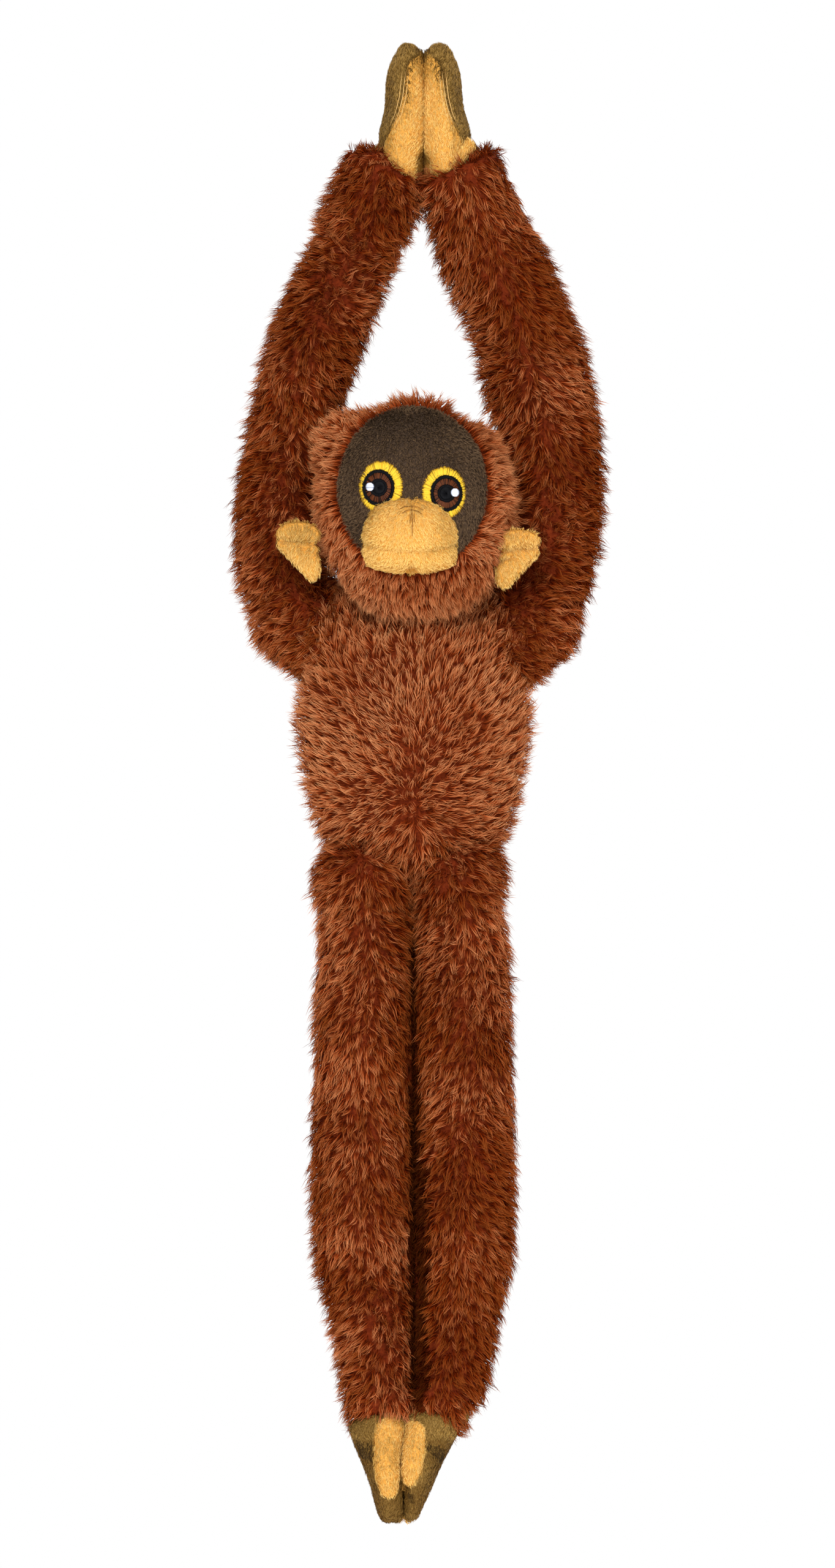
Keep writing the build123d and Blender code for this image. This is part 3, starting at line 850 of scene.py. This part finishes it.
def cushion(name, edge, at, thick, rings=12):
    """A puffed pad with that outline in x and z, both faces rounded."""
    count = len(edge)
    places, faces = [], []
    for facing in (-1, 1):
        for ring in range(1, rings + 1):
            share = ring / rings
            swell_out = thick / 2 * (1 - share**2.6) ** 0.55
            for x, z in edge * share:
                places.append((x, facing * swell_out, z))
    top, back = len(places), len(places) + 1
    places += [(0, -thick / 2, 0), (0, thick / 2, 0)]
    half = count * rings
    for side_start, hub, turn in ((0, top, 1), (half, back, -1)):
        for i in range(count):
            j = (i + 1) % count
            faces.append((hub, side_start + i, side_start + j)[::turn])
            for ring in range(rings - 1):
                a = side_start + ring * count
                faces.append((a + i, a + count + i, a + count + j, a + j)[::turn])
    mesh = bpy.data.meshes.new(name)
    mesh.from_pydata([Vector(p) * MM + Vector(at) * MM for p in places], [], faces)
    made = bmesh.new()
    made.from_mesh(mesh)
    bmesh.ops.remove_doubles(made, verts=made.verts, dist=0.01 * MM)
    bmesh.ops.recalc_face_normals(made, faces=made.faces)
    made.to_mesh(mesh)
    made.free()
    return linked(name, mesh)


for word, side in SIDES.items():
    outline = smooth_loop(EAR_EDGE, 72) * np.array([-side, 1])
    ear = cushion(f"{word}_ear_pile", outline, EAR_AT[word], EAR_THICK)
    co, facing = coordinates(ear.data), normals_of(ear.data)
    x = (co[:, 0] / MM - EAR_AT[word][0]) * -side
    z = co[:, 2] / MM - EAR_AT[word][2]
    fold = z - 3.6 + 0.10 * x
    co = dent(co, facing, fold, 1.0, 1.7)
    co = dent(co, facing, np.where(x > 1, z - 0.2 + 0.35 * (x - 4), 99), 0.8, 1.2)
    co[:, 1] -= ramp(fold, 0, 5) * 1.6 * MM
    move(ear.data, co)
    # Painted shade: each ear's pile a darker tone all over.
    nap = fibres(ear.data, comb_down, {**MUZZLE_NAP, "length": 1.8, "rise": 0.3}, 740, None, even_tone(-0.3))
    clothed(ear, GOLD, nap)
    finish_piece(ear, "head", [f"ear_{word}"])


# ---------------------------------------------------------------- eyes

# Half the iris's width and height, and the radii of the pupil, the glint and a thread, in mm.
IRIS = (6.1, 6.9)
PUPIL = 3.3
GLINT = 1.6
THREAD = 0.2


FACE_FRONT = tree_of(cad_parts["face_panel"].data)


def on_face(x, z, proud):
    """The point of the face at that x and z in mm, that far proud of it."""
    place = from_front(FACE_FRONT, x, z, proud)
    return np.array([x, -45 - proud, z]) * MM if place is None else place


def stitched(name, groups, around=6):
    """Rows of thread, each stitch a fine tube: groups of (paths, radius in mm, material)."""
    rng = np.random.default_rng(len(name))
    verts, faces, uvs, slots, materials = [], [], [], [], []
    for paths, radius, material in groups:
        materials.append(material)
        for path in paths:
            path = np.array(path)
            tone = rng.uniform(0.02, 0.8)
            steps = len(path)
            base = len(verts)
            along = unit(np.gradient(path, axis=0))
            wide = unit(np.cross(along, np.array([0, 1.0, 0])))
            deep = np.cross(wide, along)
            for i in range(steps):
                end = math.sin(math.pi * (0.08 + 0.84 * i / (steps - 1)))
                for k in range(around):
                    a = 2 * math.pi * k / around
                    spoke = wide[i] * math.cos(a) + deep[i] * math.sin(a)
                    verts.append(path[i] + spoke * radius * MM * (0.45 + 0.55 * end))
            for i in range(steps - 1):
                for k in range(around):
                    a, b = base + i * around + k, base + i * around + (k + 1) % around
                    faces.append((a, b, b + around, a + around))
                    low, high = (math.sin(math.pi * (i + d) / (steps - 1)) for d in (0, 1))
                    uvs += [(tone, low), (tone, low), (tone, high), (tone, high)]
                    slots.append(len(materials) - 1)
            for start, way in ((base, -1), (base + (steps - 1) * around, 1)):
                faces.append(tuple(range(start, start + around))[::way])
                uvs += [(tone, 0.05)] * around
                slots.append(len(materials) - 1)
    mesh = bpy.data.meshes.new(name)
    mesh.from_pydata(verts, [], faces)
    for material in materials:
        mesh.materials.append(material)
    mesh.polygons.foreach_set("material_index", slots)
    mesh.polygons.foreach_set("use_smooth", np.ones(len(faces), bool))
    mesh.uv_layers.new(name=FIBRE_MAP).uv.foreach_set("vector", np.array(uvs, np.float32).ravel())
    made = bmesh.new()
    made.from_mesh(mesh)
    bmesh.ops.recalc_face_normals(made, faces=made.faces)
    made.to_mesh(mesh)
    made.free()
    return linked(name, mesh)


def spokes(centre, inner, outer, count, proud, rng, ragged=0.25, steps=6):
    """Radial satin stitches between two ellipses round the centre, raised in the middle."""
    paths = []
    for k in range(count):
        angle = 2 * math.pi * (k + rng.uniform(-0.2, 0.2)) / count
        way = np.array([math.cos(angle), math.sin(angle)])
        near = np.array(inner) * way - way * rng.uniform(0, ragged)
        far = np.array(outer) * way + way * rng.uniform(-ragged, ragged)
        path = []
        for t in np.linspace(0, 1, steps):
            x, z = np.array(centre) + near + (far - near) * t
            path.append(on_face(x, z, proud + 0.35 * math.sin(math.pi * t)))
        paths.append(path)
    return paths


def seam_line(corners, steps=9):
    """A line of thread through the corners, lying on the muzzle's pile."""
    c = np.array(corners, float)
    t = np.linspace(0, len(c) - 1, steps)
    xs, zs = (np.interp(t, np.arange(len(c)), c[:, k]) for k in (0, 1))
    return [from_front(MUZZLE_FRONT, x, z, 0.8) for x, z in zip(xs, zs)]


# The stitched lines on the bridge of the muzzle, in x and z in mm.
SEAM = [
    [(-1.6, -108.6), (-1.5, -112), (-1.3, -116), (-1.4, -120.5)],
    [(-2.3, -112.2), (-2.1, -114), (-2.3, -115.8)],
    [(-0.6, -112.0), (-0.7, -113.6), (-0.5, -115.4)],
    [(-6.0, -110.4), (-4.2, -109.4), (-1.6, -109.2)],
    [(-5.2, -111.9), (-3.6, -110.9), (-1.6, -110.6)],
    [(-1.6, -109.2), (0.9, -109.6), (2.8, -110.8)],
    [(-1.6, -110.6), (0.6, -111.1), (2.2, -112.2)],
]
seams = stitched("muzzle_seam", [([seam_line(c) for c in SEAM], 0.12, SEAM_THREAD)])
finish_piece(seams, "head", [])

for word, side in SIDES.items():
    rng = np.random.default_rng(900 if side < 0 else 901)
    low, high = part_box(f"eye_ring_{word}")
    ring_at = ((low.x + high.x) / 2 / MM, (low.z + high.z) / 2 / MM)
    ring_size = ((high.x - low.x) / 2 / MM, (high.z - low.z) / 2 / MM)
    at = (ring_at[0] + 0.9 * side, ring_at[1] - 0.2)
    band = spokes(ring_at, (IRIS[0] - 1, IRIS[1] - 1), ring_size, 170, 0.5, rng)
    under = spokes(ring_at, (1.5, 2.0), (ring_size[0] - 0.7, ring_size[1] - 0.7), 110, 0.25, rng)
    brown = spokes(at, (1.5, 1.5), (IRIS[0] - 0.8, IRIS[1] - 0.8), 130, 0.95, rng, 0.3)
    rim = spokes(at, (IRIS[0] - 1.3, IRIS[1] - 1.3), IRIS, 140, 1.05, rng, 0.2)
    wide = spokes(at, (0.1, 0.1), (PUPIL, PUPIL), 70, 1.3, rng, 0.1)
    edge = spokes(at, (PUPIL - 1.0, PUPIL - 1.0), (PUPIL + 0.1, PUPIL + 0.1), 70, 1.45, rng, 0.1)
    x, z = at[0] + 3.2 * side, at[1] + 0.3
    rows = []
    for drop in np.linspace(-GLINT, GLINT, 11)[1:-1]:
        half = math.sqrt(GLINT**2 - drop**2)
        shares = np.linspace(-1, 1, 7)
        rows.append([on_face(x + half * t, z + drop, 1.75 + 0.3 * (1 - t * t)) for t in shares])
    for part, slot_name, groups in (
        ("ring", "yellow_thread", [(band, THREAD, YELLOW_THREAD), (under, 0.3, YELLOW_THREAD)]),
        ("iris", "brown_thread", [(brown, 0.24, BROWN_THREAD), (rim, THREAD, BLACK_THREAD)]),
        ("pupil", "black_thread", [(wide + edge, THREAD, BLACK_THREAD)]),
        ("glint", "white_thread", [(rows, 0.24, WHITE_THREAD)]),
    ):
        piece = stitched(f"{word}_eye_{part}", groups)
        finish_piece(piece, "head", [f"eye_{part}_{word}"])


# ---------------------------------------------------------------- hands and feet


# How far from the plane between the hands the golden palm cloth reaches, by height z: (z, reach) in mm.
PALM_REACH = [
    (20, 13.4), (27, 13.2), (31, 12.2), (35, 10.2), (40, 8.0), (46, 6.5),
    (52, 5.8), (57, 5.3), (60, 4.0), (62, 0.8), (66, 0.6),
]
SOLE_REACH = [(-500, 0.6)]
# How far forward the cloth goes, by height: all the way on a palm, and short of the edge below the toes.
PALM_FRONT = [(0, -60)]
SOLE_FRONT = [(-500, -6), (-478, -6), (-474, -40)]
NAP = {**MUZZLE_NAP, "spacing": 1.1, "spread": 1.2, "length": 1.5}


def panel(name, body_piece, plane_x, side, reach, front, thick):
    """The cloth over the part of the body within reach of the plane and behind front, a closed thin shell."""
    mesh = bmesh.new()
    mesh.from_mesh(body_piece.data)
    heights, reaches = zip(*reach)
    front_z, front_y = zip(*front)

    def past(point):
        """How far outside the cloth's edge the point is, in mm."""
        sideways = (point.x - plane_x) * side / MM - np.interp(point.z / MM, heights, reaches)
        return max(sideways, np.interp(point.z / MM, front_z, front_y) - point.y / MM)

    away = [f for f in mesh.faces if past(f.calc_center_median()) > 0]
    bmesh.ops.delete(mesh, geom=away, context="FACES")
    small = 0.3 * MM
    steps = [Vector((small, 0, 0)), Vector((0, small, 0)), Vector((0, 0, small))]
    rim = [v for v in mesh.verts if v.is_boundary]
    for _ in range(3):
        for vert in rim:
            over = past(vert.co)
            slopes = [(past(vert.co + step) - over) / small for step in steps]
            steep = max(sum(slope**2 for slope in slopes), 1e-9)
            shift = Vector(slopes) * (-over / steep)
            vert.co += shift * min(1, MM / max(shift.length, 1e-9))
        bmesh.ops.smooth_vert(mesh, verts=rim, factor=0.5, use_axis_x=True, use_axis_y=True, use_axis_z=True)
    sheet = bpy.data.meshes.new(name)
    mesh.to_mesh(sheet)
    mesh.free()
    piece = linked(name, sheet)
    solid = piece.modifiers.new("thick", "SOLIDIFY")
    solid.thickness = thick * MM
    solid.offset = 0.6
    return settled(piece)


def comb_up(points, normals):
    """Up, with a little drift."""
    way = np.zeros_like(points)
    way[:, 2] = 1
    return way + 0.3 * drift(points, 0.01, 71)


def streaks(points):
    """Long soft streaks up the pile."""
    return 0.35 * ripple(points * np.array([1, 1, 0.12]), 0.002, 74)


def past_edge(points, plane_x, reach):
    """How far each point lies outside the golden cloth's edge, in mm."""
    heights, reaches = zip(*reach)
    return np.abs(points[:, 0] - plane_x) / MM - np.interp(points[:, 2] / MM, heights, reaches)


def gold_streaks_and_painted_shade(plane_x, reach):
    """Streaks and duller fingertips, with painted shade along the cloth's edge, in a pressed line beside the
    edge seam, where the palms meet and in the crease between the heels.
    """

    def tone(points):
        past = past_edge(points, plane_x, reach)
        apart, height = (points[:, 0] - plane_x) / MM, points[:, 2]
        tips = ramp(height, 0.048, 0.060)
        groove = 0.5 * np.exp(-((past / 0.6) ** 2)) + 0.35 * np.exp(-(((past + 1.9) / 0.5) ** 2))
        middle = 0.12 * np.exp(-((apart / 1.3) ** 2)) * ramp(height, 0.046, 0.056)
        heel = np.exp(-((apart / 1.6) ** 2)) * ramp(-height, -0.027, -0.022) * (height > 0)
        return streaks(points) - 0.26 - 0.7 * tips - (groove + middle) * (height > 0.03) - heel

    return tone


def mottle_and_painted_shade(plane_x, reach):
    """Uneven wear, a light line beside the golden cloth with painted shade between it and the cloth's edge,
    paler cuffs where the feet meet the fur with painted shade just below them, and a darker tone on the feet.
    """

    def tone(points):
        past = past_edge(points, plane_x, reach)
        # Painted shade just outside the golden cloth's edge, beside a light line.
        seam = 0.9 * np.exp(-(((past - 1.6) / 0.5) ** 2)) - 0.7 * np.exp(-(((past - 0.5) / 0.6) ** 2))
        hand = points[:, 2] > 0
        cuff = ramp(points[:, 2], -0.4625, -0.4605)
        # Painted shade in a band just below the cuffs.
        below = ramp(-points[:, 2], 0.46, 0.463) * np.exp(-(((points[:, 2] + 0.464) / 0.006) ** 2))
        return 0.3 * ripple(points, 0.006, 75) + np.where(hand, seam, cuff - 0.3 * below - 0.85)

    return tone


def edge_seam(word, body, plane_x, side, reach):
    """Three rows of pale thread along the golden cloth's edge, up the front of the hand."""
    surface = tree_of(body.data)
    heights, reaches = zip(*reach)
    groups = []
    for past, proud in ((-0.9, 1.2), (0.3, 1.15), (1.6, 0.5)):
        path = []
        for z in np.linspace(35, 56, 24):
            x = plane_x / MM + side * (np.interp(z, heights, reaches) + past)
            path.append(from_front(surface, x, z, proud))
        groups.append(([[place for place in path if place is not None]], 0.16, PALE_THREAD))
    seam = stitched(f"{word}_palm_seam", groups)
    finish_piece(seam, f"{word}_hand", [])


def pads(word, part, back_node, front_node, reach, front, comb, seed, pushes):
    """A hand or foot: its olive cushion, and the golden cloth over its palm or sole."""
    side = SIDES[word]
    plane_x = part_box(front_node)[1 if side < 0 else 0].x
    stuffing = f"{part}_stuffing_{word}"
    body = skin(f"{word}_{part}_back", [back_node, stuffing, front_node], 1.0 * MM, 4)
    swell(body, 1.5, 0.8 * MM)
    lumpy(body, 0.35 * MM, 0.012, seed)
    co = coordinates(body.data)
    for x, z, reach_x, reach_z, dx, dz, *ahead in pushes:
        near = np.exp(-(((co[:, 0] / MM - x) / reach_x) ** 2) - ((co[:, 2] / MM - z) / reach_z) ** 2)
        near = near * (ramp(-co[:, 1], 0.0, 0.006) if ahead else 1.0)
        co[:, 0] += near * dx * MM
        co[:, 2] += near * dz * MM
    move(body.data, co)

    cloth = panel(f"{word}_{part}_front", body, plane_x, side, reach, front, 0.9)
    if part == "hand":
        edge_seam(word, body, plane_x, side, reach)
    clothed(body, OLIVE, fibres(body.data, comb, NAP, seed, None, mottle_and_painted_shade(plane_x, reach)))
    clothed(cloth, GOLD, fibres(cloth.data, comb, NAP, seed + 1, None, gold_streaks_and_painted_shade(plane_x, reach)))
    finish_piece(body, f"{word}_{part}", [back_node, stuffing])
    finish_piece(cloth, f"{word}_{part}", [front_node])


# Moves of each hand's cushion in mm: (x off the palms' plane, z, reach in x, reach in z, move outward,
# move up), and True for the front alone.
PALM_X = 3
HAND_MOVES = [
    (0, 68, 2.7, 6, 0, -3.6),
    (15, 66, 3.5, 4, -0.2, -1.6),
    (0, 18, 2.4, 6, 4.2, 0, True),
    (0.6, 42, 2.5, 11, -1.4, 0, True),
    (15, 44, 3, 8, -1.0, 0),
    (16, 33, 3, 5, 0.8, 0),
]
# Moves of each foot's cushion in mm: (x, z, reach in x, reach in z, move in x, move in z).
FOOT_PUSHES = {
    "right": [(-16, -494, 6, 20, 0.8, 0), (-9, -498, 8, 6, 0, 2.2)],
    "left": [(12, -482, 8, 16, -3.0, 0), (4, -496, 8, 8, -1, 3), (7, -490, 6, 9, -3, 0)],
}
# Each big toe and thumb is a roll of golden cloth: (x, y, z, radius) along its middle, in mm.
TOES = {
    "right": [
        (-10.6, -5, -449, 6.4), (-11.0, -14.8, -459, 7.4), (-11.2, -18, -467, 5.7), (-10.9, -18.2, -475, 5.0),
        (-10.2, -17.4, -480.5, 3.9),
    ],
    "left": [
        (3.0, -4, -449, 5.6), (1.2, -14.4, -459, 6.2), (-0.4, -17.8, -466, 5.3), (-1.0, -17.8, -472, 5.0),
        (-1.5, -17, -476, 4.0),
    ],
}
THUMBS = {
    "right": [(-6, 12, 24, 4.2), (-8, 14, 28, 3.9), (-8.5, 15, 32, 3.0)],
    "left": [(10, -8, 20, 4.8), (15, -9, 24.5, 4.6), (19.3, -8, 27.4, 3.4)],
}


def toe_streaks_and_painted_shade(points):
    """Streaks, with painted shade under the fur, down the toe's sides and in a crease down the right toe's
    top.
    """
    x, y, z = points.T / MM
    crease = np.exp(-(((x + 7.6 + 0.32 * (-454 - z)) / 0.45) ** 2)) * ramp(z, -465, -463)
    return streaks(points) - 0.22 - 0.2 * ramp(z, -460, -453) - 0.4 * ramp(y, -17, -12) - 0.7 * crease


def along_balls(balls, steps=5):
    """More balls between those, so that they join into one roll."""
    b = np.array(balls, float)
    t = np.linspace(0, len(b) - 1, (len(b) - 1) * steps + 1)
    rows = np.stack([np.interp(t, np.arange(len(b)), b[:, k]) for k in range(4)], 1)
    return [((x, y, z), r) for x, y, z, r in rows]


for word, side in SIDES.items():
    back, palm = f"hand_back_panel_{word}", f"hand_palm_panel_{word}"
    upper, sole = f"foot_upper_panel_{word}", f"foot_sole_panel_{word}"
    pushes = []
    for x, z, wide, tall, out, *rest in HAND_MOVES:
        pushes.append((PALM_X + side * x, z, wide, tall, side * out, *rest))
    pads(word, "hand", back, palm, PALM_REACH, PALM_FRONT, comb_up, 800, pushes)
    pads(word, "foot", upper, sole, SOLE_REACH, SOLE_FRONT, comb_down, 830, FOOT_PUSHES[word])
    thumb = skin(f"{word}_thumb_pile", [], 0.8 * MM, 4, 0.4, along_balls(THUMBS[word]))
    clothed(thumb, GOLD, fibres(thumb.data, comb_up, NAP, 860))
    finish_piece(thumb, f"{word}_hand", [f"thumb_{word}"])
    toe = skin(f"{word}_big_toe_pile", [], 0.8 * MM, 4, 0.6, along_balls(TOES[word]))
    clothed(toe, GOLD, fibres(toe.data, comb_down, NAP, 880, None, toe_streaks_and_painted_shade))
    finish_piece(toe, f"{word}_foot", [f"big_toe_{word}"])


# ---------------------------------------------------------------- hook and loop tapes

HOOKS = {
    **SHORT, "spacing": 1.0, "count": 3, "spread": 0.3, "length": 1.0, "rise": 1.0, "fray": 0.1,
    "width": 0.18, "wander": 0.1,
}
LOOPS = {
    **SHORT, "spacing": 0.9, "count": 6, "spread": 0.9, "length": 1.1, "rise": 0.7, "fray": 0.9,
    "width": 0.12, "wander": 0.9,
}
for part in ("hand", "foot"):
    for kind_word, kind, word in (("hook", HOOKS, "right"), ("loop", LOOPS, "left")):
        tape = skin(f"{part}_{kind_word}_pile", [f"{part}_{kind_word}_tape"], 0.4 * MM, 3)
        clothed(tape, TAPE, fibres(tape.data, comb_up, kind, 950))
        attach(tape, f"{word}_{part}")
        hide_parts(f"{part}_{kind_word}_tape")


# ---------------------------------------------------------------- floor, light, camera

# What the view holds from top to bottom, and the point at its middle.
VIEW_HEIGHT = 593.9 * MM
CENTRE = Vector((0.6, -6, -213.7)) * MM
LENS = 400.0
SENSOR = 36.0
FLOOR_Z = -0.56
# The sky lights the object this much, and looks white behind it.
SKY_LIGHT = 0.33

camera_data = bpy.data.cameras.new("camera")
camera_data.lens = LENS
camera_data.sensor_width = SENSOR
camera = linked("camera", camera_data)
camera.location = CENTRE + Vector((0, -VIEW_HEIGHT * LENS / SENSOR, 0))
camera.rotation_euler = (math.radians(90), 0, 0)
bpy.context.scene.camera = camera


def round_floor(name, radius, z, count=128):
    turns = [2 * math.pi * k / count for k in range(count)]
    edge = [(radius * math.cos(a), radius * math.sin(a), z) for a in turns]
    mesh = bpy.data.meshes.new(name)
    mesh.from_pydata(edge, [], [tuple(range(count))])
    return linked(name, mesh)


floor = round_floor("floor", 0.9, FLOOR_Z)
floor_material, _, floor_shader = new_material("pale_floor")
floor_shader.inputs["Base Color"].default_value = (0.9, 0.9, 0.9, 1)
floor_shader.inputs["Roughness"].default_value = 0.9
floor_shader.inputs["Emission Color"].default_value = (1, 1, 1, 1)
floor_shader.inputs["Emission Strength"].default_value = 0.7
floor.data.materials.append(floor_material)

world = bpy.data.worlds.new("studio")
world.use_nodes = True
sky = world.node_tree.nodes["Background"]
sky.inputs["Color"].default_value = (1, 1, 1, 1)
seen = world.node_tree.nodes.new("ShaderNodeLightPath")
strength = world.node_tree.nodes.new("ShaderNodeMapRange")
strength.inputs["To Min"].default_value = SKY_LIGHT
strength.inputs["To Max"].default_value = 1.0
world.node_tree.links.new(seen.outputs["Is Camera Ray"], strength.inputs["Value"])
world.node_tree.links.new(strength.outputs["Result"], sky.inputs["Strength"])
bpy.context.scene.world = world


def lamp(name, place, target, width, height, power):
    light = bpy.data.lights.new(name, "AREA")
    light.shape = "RECTANGLE"
    light.size = width
    light.size_y = height
    light.energy = power
    holder = linked(name, light)
    holder.location = place
    holder.rotation_mode = "QUATERNION"
    holder.rotation_quaternion = (Vector(target) - Vector(place)).to_track_quat("-Z", "Y")


lamp("key", (-0.45, -1.7, 0.7), CENTRE, 0.6, 1.0, 31)
lamp("fill", (0.7, -1.7, 0.1), CENTRE, 0.7, 1.2, 15)
lamp("back_right", (-1.1, 1.2, 0.6), CENTRE, 0.9, 1.2, 18)
lamp("back_left", (1.1, 1.2, 0.4), CENTRE, 0.9, 1.2, 18)
bpy.context.scene.view_settings.view_transform = "Standard"
